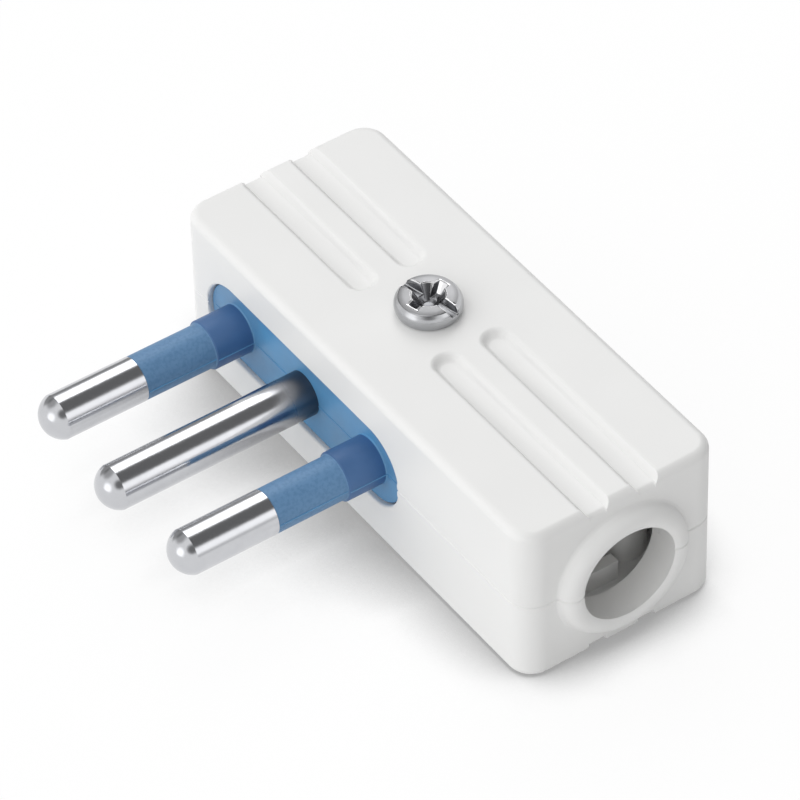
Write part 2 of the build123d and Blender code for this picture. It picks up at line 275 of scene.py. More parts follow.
# The punch also rolls a narrow lip round each edge; it is glossier and painted brighter than the side, as a
# painted highlight
screw_lips_painted_highlight = plated_metal("steel_nickel_lips_with_painted_highlight", "#F4F4F5", "#E6E6E8", 0.08, 0.16)
# Zinc is duller than nickel and spreads its highlights; the small screws and the nut have it
zinc_steel = plated_metal("steel_zinc_plated", "#C6C8C9", "#AEB1B3", 0.28, 0.42)
print("metal finishes:", pin_nickel.name, screw_nickel.name, zinc_steel.name)

# %% [markdown]
# ## Settling a piece
#
# Every piece ends the same way: what its modifiers made becomes its plain mesh, its
# smooth shading breaks only at true corners, it is tied to the one body of the plug, and
# the solid that it stands for is hidden. The open edges are counted, because a moulded or
# turned piece has none.

# %% Settle and tie
CORNER_ANGLE = math.radians(35)


def bake(piece):
    made = bpy.data.meshes.new_from_object(piece.evaluated_get(bpy.context.evaluated_depsgraph_get()))
    piece.modifiers.clear()
    piece.data = made
    made.name = piece.name
    return made


def settle(piece, slot, *stands_for, corners=None):
    made = bake(piece)
    if corners is not None:
        made.shade_smooth()
        made.set_sharp_from_angle(angle=corners)
    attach(piece, "root")
    if stands_for:
        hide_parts(*stands_for)
    shape = bmesh.new()
    shape.from_mesh(made)
    open_edges = sum(len(edge.link_faces) != 2 for edge in shape.edges)
    volume = shape.calc_volume(signed=True) / MM**3
    shape.free()
    made.calc_loop_triangles()
    print(f"{piece.name}: {len(made.loop_triangles)} triangles, {open_edges} open edges, {volume:.0f} mm3")
    return piece


# %% [markdown]
# ## Moulded pieces, softened
#
# No moulding has a knife edge: the tool's corners are eroded with a small radius. A copy
# of the solid has its loose triangles merged and its flat faces made whole again. A Bevel
# then rounds the hard edges that show by a set width, and Weighted Normal keeps the broad
# faces flat in shading. The Bevel goes by edge weight, because its own limit would shrink
# every edge to what the tightest corner allows. Each piece says where its edges are soft,
# and the other hard edges are marked sharp, so that shading breaks there.

# %% Soften a solid's edges
HARD_EDGE = math.radians(28)
FLAT_ANGLE = math.radians(1)
MERGE_GAP = 0.002 * MM
SOFT_STEPS = 4


def mesh_object(name, shape, material):
    mesh = bpy.data.meshes.new(name)
    shape.to_mesh(mesh)
    shape.free()
    mesh.materials.append(material)
    piece = bpy.data.objects.new(name, mesh)
    bpy.context.scene.collection.objects.link(piece)
    return piece


def cut_away(piece, cutters):
    for cutter in cutters:
        cut = piece.modifiers.new(cutter.name, "BOOLEAN")
        cut.operation = "DIFFERENCE"
        cut.solver = "EXACT"
        cut.object = cutter


def softened(node, width, material, where, cutters=()):
    mesh = nodes[node].data.copy()
    mesh.materials.clear()
    mesh.materials.append(material)
    shape = bmesh.new()
    shape.from_mesh(mesh)
    bmesh.ops.remove_doubles(shape, verts=shape.verts, dist=MERGE_GAP)
    bmesh.ops.dissolve_limit(shape, angle_limit=FLAT_ANGLE, verts=shape.verts, edges=shape.edges)
    weight = shape.edges.layers.float.new("bevel_weight_edge")
    soft = 0
    for edge in shape.edges:
        if len(edge.link_faces) == 2 and edge.calc_face_angle() > HARD_EDGE:
            shows = all(where(vert.co) for vert in edge.verts)
            edge[weight] = float(shows)
            edge.smooth = shows
            soft += shows
    for face in shape.faces:
        face.smooth = True
    shape.to_mesh(mesh)
    shape.free()
    piece = bpy.data.objects.new(node + "_soft", mesh)
    bpy.context.scene.collection.objects.link(piece)
    bevel = piece.modifiers.new("soft_edges", "BEVEL")
    bevel.limit_method = "WEIGHT"
    bevel.use_clamp_overlap = False
    bevel.width = width
    bevel.segments = SOFT_STEPS
    cut_away(piece, cutters)
    normals = piece.modifiers.new("flat_faces", "WEIGHTED_NORMAL")
    normals.keep_sharp = True
    print(node, "edges softened:", soft)
    return piece


# %% [markdown]
# ## The housing
#
# Two shells part at half height and meet in a fine line that runs round the ends and over
# the bead of the cord entry. Their grooves, bead and hollow are all in the solids. Only
# the grooves' edges and the rims of the openings need their soft radius. The meeting line
# keeps the solid's own fine bevel, and the rounded ends are soft already.

# %% Where the shells are soft
GROOVE_ZONE = 0.65 * MM
END_FILLET = 0.75 * MM
SEAM_BAND = 0.35 * MM
end = -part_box("upper_shell")[0].x
top = mounts["cord_entry"]["pos_m"][2] * 2
parting = top / 2


def shows_on_shell(spot):
    on_broad_face = min(spot.z, top - spot.z) < GROOVE_ZONE
    on_long_side = abs(spot.y) > -front - SEAM_BAND
    off_the_ends = abs(spot.x) < end - END_FILLET
    off_the_seam = abs(spot.z - parting) > SEAM_BAND
    return (on_broad_face or on_long_side) and off_the_ends and off_the_seam


print("housing reaches", round(end / MM, 2), "mm each way and is", round(top / MM, 2), "mm high")

# %% [markdown]
# ## Groove exits
#
# Where a groove runs out over the end, its floor rolls down into the end face as the broad
# face beside it does. The edge there is too cramped for a Bevel, between the groove's walls
# and the rounded end. A cutter with a quarter round takes the corner off instead, the same
# at all eight exits.

# %% Cutter for the groove exits
# Sizes of the grooves and of the cutter, in millimetres
GROOVE_DEPTH = 0.6
GROOVE_SPACING = 4.8
EXIT_RADIUS = 0.5
EXIT_HALF_WIDTH = 0.82
# How far the cutter stands past the end face and above the groove's floor
CUTTER_OUTSIDE = 0.4
CUTTER_ABOVE = 0.3
EXIT_STEPS = 6
# Share of a step by which both ends of the round run on past the surface, so that no
# face of the cutter lies in it
RUN_ON = 0.2


def groove_exits(name, upwards):
    """Prisms that lie over the exits of one broad face, hollowed by the quarter round."""
    shape = bmesh.new()
    reach, level = end / MM, top / MM - GROOVE_DEPTH
    angles = [math.pi / 2 * (1 - i / EXIT_STEPS) for i in range(EXIT_STEPS + 1)]
    arc = [Vector((reach + EXIT_RADIUS * (math.cos(a) - 1), level + EXIT_RADIUS * (math.sin(a) - 1)))
           for a in angles]
    first = arc[0] + RUN_ON * (arc[0] - arc[1])
    last = arc[-1] + RUN_ON * (arc[-1] - arc[-2])
    outside, above = reach + CUTTER_OUTSIDE, level + CUTTER_ABOVE
    outline = [first, *arc[1:-1], last,
               Vector((outside, last.y)), Vector((outside, above)), Vector((first.x, above))]
    for toward in (-1, 1):
        for middle in (-GROOVE_SPACING / 2, GROOVE_SPACING / 2):
            rings = []
            for y in (middle - EXIT_HALF_WIDTH, middle + EXIT_HALF_WIDTH):
                heights = [z if upwards else top / MM - z for _, z in outline]
                rings.append([shape.verts.new(MM * Vector((toward * spot.x, y, z)))
                              for spot, z in zip(outline, heights)])
            for ring in rings:
                shape.faces.new(ring)
            for i in range(len(outline)):
                shape.faces.new((rings[0][i - 1], rings[0][i], rings[1][i], rings[1][i - 1]))
    bmesh.ops.recalc_face_normals(shape, faces=shape.faces)
    return mesh_object(name, shape, white_abs)


# %% [markdown]
# ## Shading of the rolled ends
#
# A groove's soft edge stops where the end begins to round. Its last points lean to the
# side, and smooth shading would carry that lean along the whole end as a thin dark line.
# The ends are straight across the width, so the lean is taken out of their shading.

# %% Level the shading of the ends
ROLLED_END = 0.85 * MM
# Half the width that holds both grooves, and the slope under which a face counts as straight
GROOVE_REACH = 4.5 * MM
STRAIGHT = 0.02


def level_ends(piece):
    mesh = piece.data
    normals = [Vector(corner.vector) for corner in mesh.corner_normals]
    levelled = 0
    for face in mesh.polygons:
        height = face.center.z
        rolled = abs(face.center.x) > end - ROLLED_END and min(height, top - height) < ROLLED_END
        if rolled and abs(face.normal.y) < STRAIGHT:
            for i in face.loop_indices:
                if abs(mesh.vertices[mesh.loops[i].vertex_index].co.y) < GROOVE_REACH:
                    normals[i].y = 0
                    normals[i].normalize()
                    levelled += 1
    mesh.normals_split_custom_set(normals)
    print(piece.name, "corners levelled:", levelled)


# %% Both shells
SHELL_EDGE = 0.22 * MM
for shell, upwards in (("upper_shell", True), ("lower_shell", False)):
    exits = groove_exits("exits", upwards)
    piece = softened(shell, SHELL_EDGE, white_abs, shows_on_shell, [exits])
    level_ends(settle(piece, "housing", shell))
    bpy.data.objects.remove(exits)

# %% [markdown]
# ## The pin carrier
#
# One blue moulding fills the opening in the long side and runs out along the two outer
# pins as sleeves. Both are one piece, so the copy stays whole, and its faces take one of
# three finishes by their place: the face in the opening, the thicker root of a sleeve past
# the housing's side, painted darker as painted shade, and the thin sleeve itself.

# %% Carrier and sleeves
SLEEVE_BASE_LENGTH = 3.2 * MM
CARRIER_RECESS = 0.4 * MM
CARRIER_EDGE = 0.12 * MM
FACE_MARGIN = 0.1 * MM
# Only the edges on its face and in front of it are soft
soft_limit = front + CARRIER_RECESS + FACE_MARGIN
carrier = softened("pin_carrier", CARRIER_EDGE, face_blue, lambda spot: spot.y < soft_limit)
carrier = settle(carrier, "carrier", "pin_carrier")
carrier.data.materials.append(sleeve_root_painted_shade_blue)
carrier.data.materials.append(sleeve_blue)
# Roots of the sleeves, just past the housing's side, take the painted shade
for face in carrier.data.polygons:
    if face.center.y < front - SLEEVE_BASE_LENGTH:
        face.material_index = 2
    elif face.center.y < front:
        face.material_index = 1
finishes = [face.material_index for face in carrier.data.polygons]
print("faces of each finish:", [finishes.count(i) for i in range(3)])

# %% [markdown]
# ## Shapes from Geometry Nodes
#
# What is turned, repeated or drawn along a line follows a rule, and a node tree can hold
# that rule with its sizes as named inputs. One function opens a tree with its inputs, one
# closes it with Realize Instances and Set Material, and one puts it on a new object and
# fills in the sizes by each socket's identifier.

# %% Tree helpers
def shape_tree(name, sizes):
    tree = bpy.data.node_groups.new(name, "GeometryNodeTree")
    for label, kind in sizes.items():
        tree.interface.new_socket(label, in_out="INPUT", socket_type="NodeSocket" + kind)
    tree.interface.new_socket("Material", in_out="INPUT", socket_type="NodeSocketMaterial")
    tree.interface.new_socket("Shape", in_out="OUTPUT", socket_type="NodeSocketGeometry")
    return tree, add_node(tree, "NodeGroupInput").outputs


def close_tree(tree, shape, material):
    whole = add_node(tree, "GeometryNodeRealizeInstances", None, {"Geometry": shape})
    painted = add_node(tree, "GeometryNodeSetMaterial", None,
                       {"Geometry": whole.outputs[0], "Material": material})
    add_node(tree, "NodeGroupOutput", None, {"Shape": painted.outputs[0]})


def grown(name, tree, sizes, path=None):
    piece = bpy.data.objects.new(name, path or bpy.data.meshes.new(name))
    bpy.context.scene.collection.objects.link(piece)
    maker = piece.modifiers.new("maker", "NODES")
    maker.node_group = tree
    sockets = {item.name: item.identifier for item in tree.interface.items_tree if item.in_out == "INPUT"}
    for label, value in sizes.items():
        maker[sockets[label]] = value
    return piece


# %% [markdown]
# ## Turned pins
#
# A pin is turned from bar: a domed tip, the bare length, a thin neck inside the sleeve and
# a thick terminal behind the carrier, which is then drilled for the wire and for its
# screw. The tree turns a flat grid into the pin. One side of the grid goes round the axis,
# and the other steps along the profile: six fixed corners, then the dome's arc by angle.
# Merging closes the seam and both poles, and two drills are cut away at the end.

# %% The tree of a turned pin
PIN_SIDES = 96
DRILL_SIDES = 48
DOME_ROWS = 16
FIXED_ROWS = 6
LAST_ROW = FIXED_ROWS + DOME_ROWS
SEAM_GAP = 0.0005 * MM

pin_tree, size = shape_tree("turned_pin", {
    "Place": "Vector", "Tip": "Float", "Shoulder": "Float", "Carrier Back": "Float",
    "Terminal Back": "Float", "Radius": "Float", "Tip Radius": "Float", "Dome": "Float",
    "Neck Radius": "Float", "Terminal Radius": "Float", "Wire Hole": "Float", "Wire Depth": "Float",
    "Screw Hole": "Float", "Screw Place": "Vector"})
bar = add_node(pin_tree, "GeometryNodeMeshGrid", None,
               {"Size X": 1.0, "Size Y": 1.0, "Vertices X": PIN_SIDES + 1, "Vertices Y": LAST_ROW + 1})
spot = add_node(pin_tree, "ShaderNodeSeparateXYZ", None,
                {0: add_node(pin_tree, "GeometryNodeInputPosition").outputs[0]}).outputs
turn = add_node(pin_tree, "ShaderNodeMapRange", None,
                {"Value": spot["X"], "From Min": -0.5, "From Max": 0.5, "To Max": -math.tau}).outputs[0]
row = add_node(pin_tree, "ShaderNodeMapRange", None,
               {"Value": spot["Y"], "From Min": -0.5, "From Max": 0.5,
                "To Max": float(LAST_ROW)}).outputs[0]
print("rows along a pin:", LAST_ROW + 1)

# %% The dome's arc
# The arc starts where the tip's sphere is as wide as the pin, and ends on the axis
below_centre = add_node(pin_tree, "ShaderNodeMath", {"operation": "SUBTRACT"},
                        {0: size["Tip Radius"], 1: size["Dome"]})
slope = add_node(pin_tree, "ShaderNodeMath", {"operation": "DIVIDE"},
                 {0: below_centre.outputs[0], 1: size["Tip Radius"]})
arc_start = add_node(pin_tree, "ShaderNodeMath", {"operation": "ARCSINE"}, {0: slope.outputs[0]})
arc = add_node(pin_tree, "ShaderNodeMapRange", None,
               {"Value": row, "From Min": float(FIXED_ROWS), "From Max": float(LAST_ROW),
                "To Min": arc_start.outputs[0], "To Max": math.pi / 2}).outputs[0]
rise = add_node(pin_tree, "ShaderNodeMath", {"operation": "SINE"}, {0: arc})
reach = add_node(pin_tree, "ShaderNodeMath", {"operation": "COSINE"}, {0: arc})
centre = add_node(pin_tree, "ShaderNodeMath", {"operation": "ADD"}, {0: size["Tip"], 1: size["Tip Radius"]})
climb = add_node(pin_tree, "ShaderNodeMath", {"operation": "MULTIPLY"},
                 {0: rise.outputs[0], 1: size["Tip Radius"]})
dome_along = add_node(pin_tree, "ShaderNodeMath", {"operation": "SUBTRACT"},
                      {0: centre.outputs[0], 1: climb.outputs[0]}).outputs[0]
dome_across = add_node(pin_tree, "ShaderNodeMath", {"operation": "MULTIPLY"},
                       {0: reach.outputs[0], 1: size["Tip Radius"]}).outputs[0]

# %% Profile, turning and drilling
step = add_node(pin_tree, "ShaderNodeMath", {"operation": "ROUND"}, {0: row})
step = add_node(pin_tree, "ShaderNodeMath", {"operation": "MINIMUM"},
                {0: step.outputs[0], 1: float(FIXED_ROWS)})
corners_along = (size["Terminal Back"], size["Terminal Back"], size["Carrier Back"], size["Carrier Back"],
                 size["Shoulder"], size["Shoulder"], dome_along)
# The first corner is on the axis, where its own value of zero is right
corners_across = (None, size["Terminal Radius"], size["Terminal Radius"], size["Neck Radius"],
                  size["Neck Radius"], size["Radius"], dome_across)
profile = []
for corners in (corners_across, corners_along):
    switch = add_node(pin_tree, "GeometryNodeIndexSwitch", {"data_type": "FLOAT"},
                      {"Index": step.outputs[0]})
    while len(switch.index_switch_items) < len(corners):
        switch.index_switch_items.new()
    for number, corner in enumerate(corners):
        if corner is not None:
            pin_tree.links.new(corner, switch.inputs[number + 1])
    profile.append(switch.outputs[0])
outline = add_node(pin_tree, "ShaderNodeCombineXYZ", None, {"X": profile[0], "Y": profile[1]})
around = add_node(pin_tree, "ShaderNodeVectorRotate", {"rotation_type": "Y_AXIS"},
                  {"Vector": outline.outputs[0], "Angle": turn})
spun = add_node(pin_tree, "GeometryNodeSetPosition", None,
                {"Geometry": bar.outputs[0], "Position": around.outputs[0]})
closed = add_node(pin_tree, "GeometryNodeMergeByDistance", None,
                  {"Geometry": spun.outputs[0], "Distance": SEAM_GAP})
wire_drill = add_node(pin_tree, "GeometryNodeMeshCylinder", None,
                      {"Vertices": DRILL_SIDES, "Radius": size["Wire Hole"], "Depth": size["Wire Depth"]})
wire_spot = add_node(pin_tree, "ShaderNodeCombineXYZ", None, {"Y": size["Terminal Back"]})
wire_drill = add_node(pin_tree, "GeometryNodeTransform", None,
                      {"Geometry": wire_drill.outputs[0], "Translation": wire_spot.outputs[0],
                       "Rotation": (math.pi / 2, 0, 0)})
screw_drill = add_node(pin_tree, "GeometryNodeMeshCylinder", None,
                       {"Vertices": DRILL_SIDES, "Radius": size["Screw Hole"], "Depth": size["Wire Depth"]})
screw_drill = add_node(pin_tree, "GeometryNodeTransform", None,
                       {"Geometry": screw_drill.outputs[0], "Translation": size["Screw Place"]})
drilled = closed
for drill in (wire_drill, screw_drill):
    drilled = add_node(pin_tree, "GeometryNodeMeshBoolean", {"operation": "DIFFERENCE", "solver": "EXACT"},
                       {0: drilled.outputs[0], 1: drill.outputs[0]})
seated = add_node(pin_tree, "GeometryNodeTransform", None,
                  {"Geometry": drilled.outputs[0], "Translation": size["Place"]})
close_tree(pin_tree, seated.outputs[0], size["Material"])
print("nodes in the pin's tree:", len(pin_tree.nodes))

# %% Three pins
CARRIER_DEPTH = 5.25 * MM
PIN_DOME = 1.5 * MM
NECK_RADIUS = 1.5 * MM
WIRE_HOLE_RADIUS = 1.3 * MM
WIRE_HOLE_DEPTH = 3.8 * MM
SCREW_HOLE_RADIUS = 1.1 * MM
SLEEVE_LENGTH = 9.9 * MM
# The dome meets the side in an edge of 16 degrees, so a corner starts lower here
PIN_CORNER = math.radians(12)
shoulders = {"line_pin": -SLEEVE_LENGTH, "earth_pin": CARRIER_RECESS, "neutral_pin": -SLEEVE_LENGTH}
for pin, shoulder in shoulders.items():
    low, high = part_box(pin)
    radius = mounts[pin]["dims"]["r_mm"] * MM
    level = mounts[pin]["pos_m"][2]
    terminal_radius = (high.x - low.x) / 2
    terminal_back = high.y - front
    piece = grown(pin + "_turned", pin_tree, {
        "Place": ((low.x + high.x) / 2, front, level), "Tip": low.y - front, "Shoulder": shoulder,
        "Carrier Back": CARRIER_DEPTH, "Terminal Back": terminal_back, "Radius": radius,
        "Tip Radius": (radius**2 + PIN_DOME**2) / (2 * PIN_DOME), "Dome": PIN_DOME,
        "Neck Radius": NECK_RADIUS, "Terminal Radius": terminal_radius, "Wire Hole": WIRE_HOLE_RADIUS,
        "Wire Depth": 2 * WIRE_HOLE_DEPTH, "Screw Hole": SCREW_HOLE_RADIUS,
        "Screw Place": (0.0, (CARRIER_DEPTH + terminal_back) / 2, WIRE_HOLE_DEPTH), "Material": pin_nickel})
    settle(piece, "pin_plate", pin, corners=PIN_CORNER)

# %% [markdown]
# ## Small screws in rows
#
# Three screws in the terminals and two on the cord clamp are the same kind: a round head,
# a shank and one slot. The tree makes one screw, cuts its slot and sets a copy on every
# point of a straight row.

# %% The tree of a row of slotted screws
SMALL_SCREW_SIDES = 48
row_tree, size = shape_tree("slotted_screw_row", {
    "First": "Vector", "Step": "Vector", "Count": "Int", "Head Radius": "Float", "Head Height": "Float",
    "Shank Radius": "Float", "Shank Length": "Float", "Slot Size": "Vector", "Slot Turn": "Vector",
    "Head Middle": "Vector", "Shank Middle": "Vector"})
head = add_node(row_tree, "GeometryNodeMeshCylinder", None,
                {"Vertices": SMALL_SCREW_SIDES, "Radius": size["Head Radius"],
                 "Depth": size["Head Height"]})
head = add_node(row_tree, "GeometryNodeTransform", None,
                {"Geometry": head.outputs[0], "Translation": size["Head Middle"]})
shank = add_node(row_tree, "GeometryNodeMeshCylinder", None,
                 {"Vertices": SMALL_SCREW_SIDES, "Radius": size["Shank Radius"],
                  "Depth": size["Shank Length"]})
shank = add_node(row_tree, "GeometryNodeTransform", None,
                 {"Geometry": shank.outputs[0], "Translation": size["Shank Middle"]})
# A union takes both bodies through one socket
blank = add_node(row_tree, "GeometryNodeMeshBoolean", {"operation": "UNION", "solver": "EXACT"},
                 {1: head.outputs[0]})
row_tree.links.new(shank.outputs[0], blank.inputs[1])
blade = add_node(row_tree, "GeometryNodeMeshCube", None, {"Size": size["Slot Size"]})
blade = add_node(row_tree, "GeometryNodeTransform", None,
                 {"Geometry": blade.outputs[0], "Rotation": size["Slot Turn"]})
screw = add_node(row_tree, "GeometryNodeMeshBoolean", {"operation": "DIFFERENCE", "solver": "EXACT"},
                 {0: blank.outputs[0], 1: blade.outputs[0]})
line = add_node(row_tree, "GeometryNodeMeshLine", None,
                {"Count": size["Count"], "Start Location": size["First"], "Offset": size["Step"]})
copies = add_node(row_tree, "GeometryNodeInstanceOnPoints", None,
                  {"Points": line.outputs[0], "Instance": screw.outputs[0]})
close_tree(row_tree, copies.outputs[0], size["Material"])
print("nodes in the screw row:", len(row_tree.nodes))

# %% Terminal screws and clamp screws
HEAD_HEIGHT = 1.5 * MM
SLOT_WIDTH = 0.7 * MM
SLOT_DEPTH = 0.7 * MM
BROKEN_EDGE = 0.06 * MM
EDGE_STEPS = 2


def screw_row(node, count, along, shank_radius, slot_turn):
    low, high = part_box(node)
    across = 1 - along
    head = high[across] - low[across]
    first = Vector((low.x + head / 2, low.y + head / 2, high.z))
    step = Vector((0, 0, 0))
    step[along] = (high[along] - low[along] - head) / (count - 1)
    # The shank starts inside the head, so that the two fuse cleanly
    shank = high.z - low.z - HEAD_HEIGHT / 2
    piece = grown(node + "_headed", row_tree, {
        "First": first, "Step": step, "Count": count, "Head Radius": head / 2, "Head Height": HEAD_HEIGHT,
        "Shank Radius": shank_radius, "Shank Length": shank,
        "Slot Size": (2 * head, SLOT_WIDTH, 2 * SLOT_DEPTH), "Slot Turn": (0, 0, math.radians(slot_turn)),
        "Head Middle": (0, 0, -HEAD_HEIGHT / 2), "Shank Middle": (0, 0, -HEAD_HEIGHT / 2 - shank / 2),
        "Material": zinc_steel})
    edges = piece.modifiers.new("broken_edges", "BEVEL")
    edges.limit_method = "ANGLE"
    edges.width = BROKEN_EDGE
    edges.segments = EDGE_STEPS
    return settle(piece, "inner_screws", node, corners=CORNER_ANGLE)


screw_row("terminal_screws", count=3, along=0, shank_radius=1.05 * MM, slot_turn=30)
screw_row("clamp_screws", count=2, along=1, shank_radius=1.2 * MM, slot_turn=60)

# %% [markdown]
# ## The closing screw
#
# The screw that shows on top is cold headed. Its pan head bulges at the side, and the punch
# leaves one full slot, a shorter arm across it and a deep tapered socket in the middle. The
# blank is a profile carried round an axis, and tapered cutters take out the recess. Both
# are plain mesh code, since there is only one such screw. Slanted walls matter here: they
# catch light from several sides, where straight ones would only look black. Each region
# of the head then gets its own nickel: a bright side, duller pads on top painted greyer as
# painted shade, a recess painted dark as painted shade, and glossy lips painted brighter as
# a painted highlight.

# %% A turned blank and a tapered cutter
SCREW_SIDES = 96


def turned_blank(name, profile, foot, material):
    """Closed body round a vertical axis, from (radius, height) pairs that start and end on the axis."""
    shape = bmesh.new()
    rings = []
    for radius, height in profile:
        angles = [math.tau * i / SCREW_SIDES for i in range(SCREW_SIDES if radius else 1)]
        spots = [Vector((radius * math.cos(a), radius * math.sin(a), height)) for a in angles]
        rings.append([shape.verts.new(foot + MM * spot) for spot in spots])
    for low, high in zip(rings, rings[1:]):
        for i in range(SCREW_SIDES):
            j = i + 1
            corners = (low[i % len(low)], low[j % len(low)], high[j % len(high)], high[i % len(high)])
            shape.faces.new(dict.fromkeys(corners))
    return mesh_object(name, shape, material)


def tapered_cutter(name, above, below, sides, foot, turn):
    """Prism from a wide outline above to a narrow one below, each given as half x, half y and height."""
    shape = bmesh.new()
    rings = []
    for half_x, half_y, height in (below, above):
        ring = []
        for i in range(sides):
            angle = math.tau * (i + 0.5) / sides
            spot = Vector((math.cos(angle) * half_x, math.sin(angle) * half_y, height))
            # A square is as wide as its sides, not its corners
            if sides == 4:
                spot.xy *= math.sqrt(2)
            spot.rotate(Quaternion((0, 0, 1), turn))
            ring.append(shape.verts.new(foot + MM * spot))
        rings.append(ring)
    shape.faces.new(reversed(rings[0]))
    shape.faces.new(rings[1])
    for i in range(sides):
        j = (i + 1) % sides
        shape.faces.new((rings[0][i], rings[0][j], rings[1][j], rings[1][i]))
    return mesh_object(name, shape, screw_nickel)


# %% Head, shank and recess
SCREW_TURN = math.radians(14)
LIP_WIDTH = 0.09 * MM
LIP_ANGLE = math.radians(40)
# The screw's own sizes are in millimetres, from where its head meets the housing
SHANK_RADIUS = 1.5
SHANK_CHAMFER = 0.3
SIDE_STEPS = 10
SOCKET_SIDES = 48
screw_low, screw_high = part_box("closing_screw")
screw_foot = Vector(((screw_low.x + screw_high.x) / 2, 0, top))
shank_end = (screw_low.z - top) / MM
# Side of the head as a curve from the foot over the bulge to the rim, then the shallow crown
foot_point, bulge_point, rim_point = Vector((2.66, 0.0)), Vector((3.1, 0.85)), Vector((2.54, 1.42))
steps = [i / SIDE_STEPS for i in range(SIDE_STEPS + 1)]
side = [(1 - t)**2 * foot_point + 2 * t * (1 - t) * bulge_point + t**2 * rim_point for t in steps]
crown = [(2.5, 1.48), (2.42, 1.52), (2.0, 1.585), (1.5, 1.64), (1.0, 1.68), (0.5, 1.71), (0.0, 1.72)]
shank = [(0.0, shank_end), (SHANK_RADIUS - SHANK_CHAMFER, shank_end),
         (SHANK_RADIUS, shank_end + SHANK_CHAMFER), (SHANK_RADIUS, 0.0)]
profile = shank + [tuple(point) for point in side] + crown
screw = turned_blank("closing_screw_headed", profile, screw_foot, screw_nickel)
cutters = (
    tapered_cutter("slot", (3.5, 0.58, 1.9), (3.5, 0.36, 0.88), 4, screw_foot, SCREW_TURN),
    tapered_cutter("arm", (0.56, 2.12, 1.9), (0.36, 1.3, 0.55), 4, screw_foot, SCREW_TURN),
    tapered_cutter("socket", (1.6, 1.6, 1.9), (0.5, 0.5, 0.35), SOCKET_SIDES, screw_foot, SCREW_TURN))
cut_away(screw, cutters)
rolled = screw.modifiers.new("rolled_edges", "BEVEL")
rolled.limit_method = "ANGLE"
rolled.angle_limit = LIP_ANGLE
rolled.width = LIP_WIDTH
rolled.segments = EDGE_STEPS
rolled.use_clamp_overlap = False
settle(screw, "screw_plate", "closing_screw", corners=CORNER_ANGLE)
for cutter in cutters:
    bpy.data.objects.remove(cutter)

# %% Finishes of the screw's head
# Upward part of a face's direction: more than FLAT is level, less than STEEP is a wall
FLAT = 0.95
STEEP = 0.8
# A wall of the recess faces the axis or lies beside it, so it looks outwards by less than this
INWARD = 0.3
CROWN_RADIUS = 2.42 * MM
PAD_LEVEL = 1.45 * MM
LIP_LEVEL = 1.35 * MM
FLOOR_LEVEL = 1.2 * MM
WALL_FOOT = 0.2 * MM
# The pads take painted shade, the recess darker painted shade, the lips a painted highlight
PADS, RECESS, LIPS = 1, 2, 3
for finish in (screw_pads_painted_shade, screw_recess_painted_shade, screw_lips_painted_highlight):
    screw.data.materials.append(finish)
for face in screw.data.polygons:
    outward = Vector((face.center.x - screw_foot.x, face.center.y - screw_foot.y, 0))
    on_crown = outward.length < CROWN_RADIUS
    inward = face.normal.dot(outward.normalized()) < INWARD
    upward, height = face.normal.z, face.center.z
    if upward > FLAT and height > top + PAD_LEVEL and on_crown:
        face.material_index = PADS
    elif upward < FLAT and height > top + LIP_LEVEL and on_crown:
        face.material_index = LIPS
    elif inward and upward < STEEP and height > top + WALL_FOOT:
        face.material_index = RECESS
    elif upward > FLAT and height < top + FLOOR_LEVEL:
        face.material_index = RECESS
finishes = [face.material_index for face in screw.data.polygons]
print("faces of side, pads, recess and lips:", [finishes.count(i) for i in range(4)])

# %% [markdown]
# ## Nut and clamp
#
# The screw's square nut sits in a pocket of the underside, and the clamp bar lies inside
# the cord entry, where it would press on a cord's sheath. Both take their form from their
# solids, with all edges broken: pressed nuts are tumbled, and the bar is moulded.

# %% Nut and clamp
NUT_EDGE = 0.08 * MM
CLAMP_EDGE = 0.12 * MM
settle(softened("closing_nut", NUT_EDGE, zinc_steel, lambda spot: True), "screw_plate", "closing_nut")
settle(softened("cord_clamp", CLAMP_EDGE, natural_abs, lambda spot: True), "clamp", "cord_clamp")

# %% [markdown]
# ## The mould's parting line on the carrier
#
# The tool that moulds the carrier opens at half height and leaves a hair of flash there:
# across the face and along both sides of each sleeve. It follows simple lines, so the
# lines are drawn as loose edges and a tree gives them a thin round body.

# %% Flash lines
FLASH_RADIUS = 0.06 * MM
FLASH_SIDES = 10
FLASH_MARGIN = 1.2 * MM
SLEEVE_BASE_RADIUS = 2.2 * MM
SLEEVE_RADIUS = 1.975 * MM

flash_tree, size = shape_tree("moulding_flash", {"Lines": "Geometry", "Radius": "Float"})
thread = add_node(flash_tree, "GeometryNodeMeshToCurve", None, {"Mesh": size["Lines"]})
ring = add_node(flash_tree, "GeometryNodeCurvePrimitiveCircle", None,
                {"Resolution": FLASH_SIDES, "Radius": size["Radius"]})
body = add_node(flash_tree, "GeometryNodeCurveToMesh", None,
                {"Curve": thread.outputs[0], "Profile Curve": ring.outputs[0], "Fill Caps": True})
close_tree(flash_tree, body.outputs[0], size["Material"])

